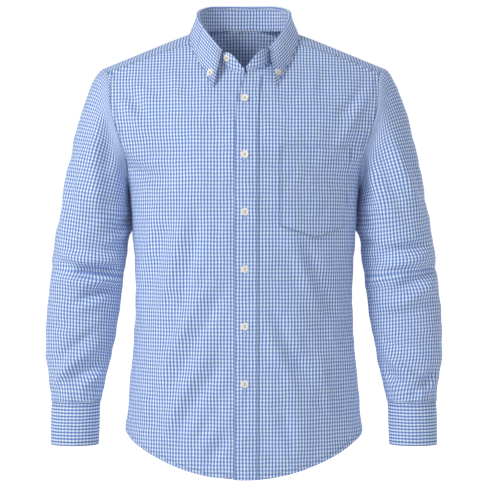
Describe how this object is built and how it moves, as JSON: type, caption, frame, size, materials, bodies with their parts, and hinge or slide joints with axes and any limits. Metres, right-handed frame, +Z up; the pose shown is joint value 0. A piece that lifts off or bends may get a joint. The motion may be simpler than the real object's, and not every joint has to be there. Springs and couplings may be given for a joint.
{
  "type": "shirt",
  "caption": "Long-sleeved button-down shirt in checked poplin, filled out as worn, with a chest pocket, barrel cuffs and a curved hem.",
  "frame": {"origin": "the middle of the neck base, level with the tops of the shoulders beside the neck, where the wearer holds the shirt up", "axes": "+Z up, the front faces -Y and the wearer's left is +X"},
  "size_m": [0.6728, 0.2558, 0.8111],
  "materials": {
    "cloth": "matt cotton poplin, fine blue and white gingham",
    "button": "cream, soft gloss"
  },
  "bodies": {
    "root": {"back": "cloth", "yoke": "cloth", "placket": "cloth", "pocket": "cloth", "collar_stand": "cloth", "collar_leaf": "cloth", "front_left": "cloth", "sleeve_left": "cloth", "sleeve_placket_left": "cloth", "cuff_left": "cloth", "front_right": "cloth", "sleeve_right": "cloth", "sleeve_placket_right": "cloth", "cuff_right": "cloth", "button_front_1": "button", "button_front_2": "button", "button_front_3": "button", "button_front_4": "button", "button_front_5": "button", "button_front_6": "button", "button_stand": "button", "button_collar_left": "button", "button_collar_right": "button", "button_cuff_left": "button", "button_cuff_right": "button"}
  },
  "joints": []
}
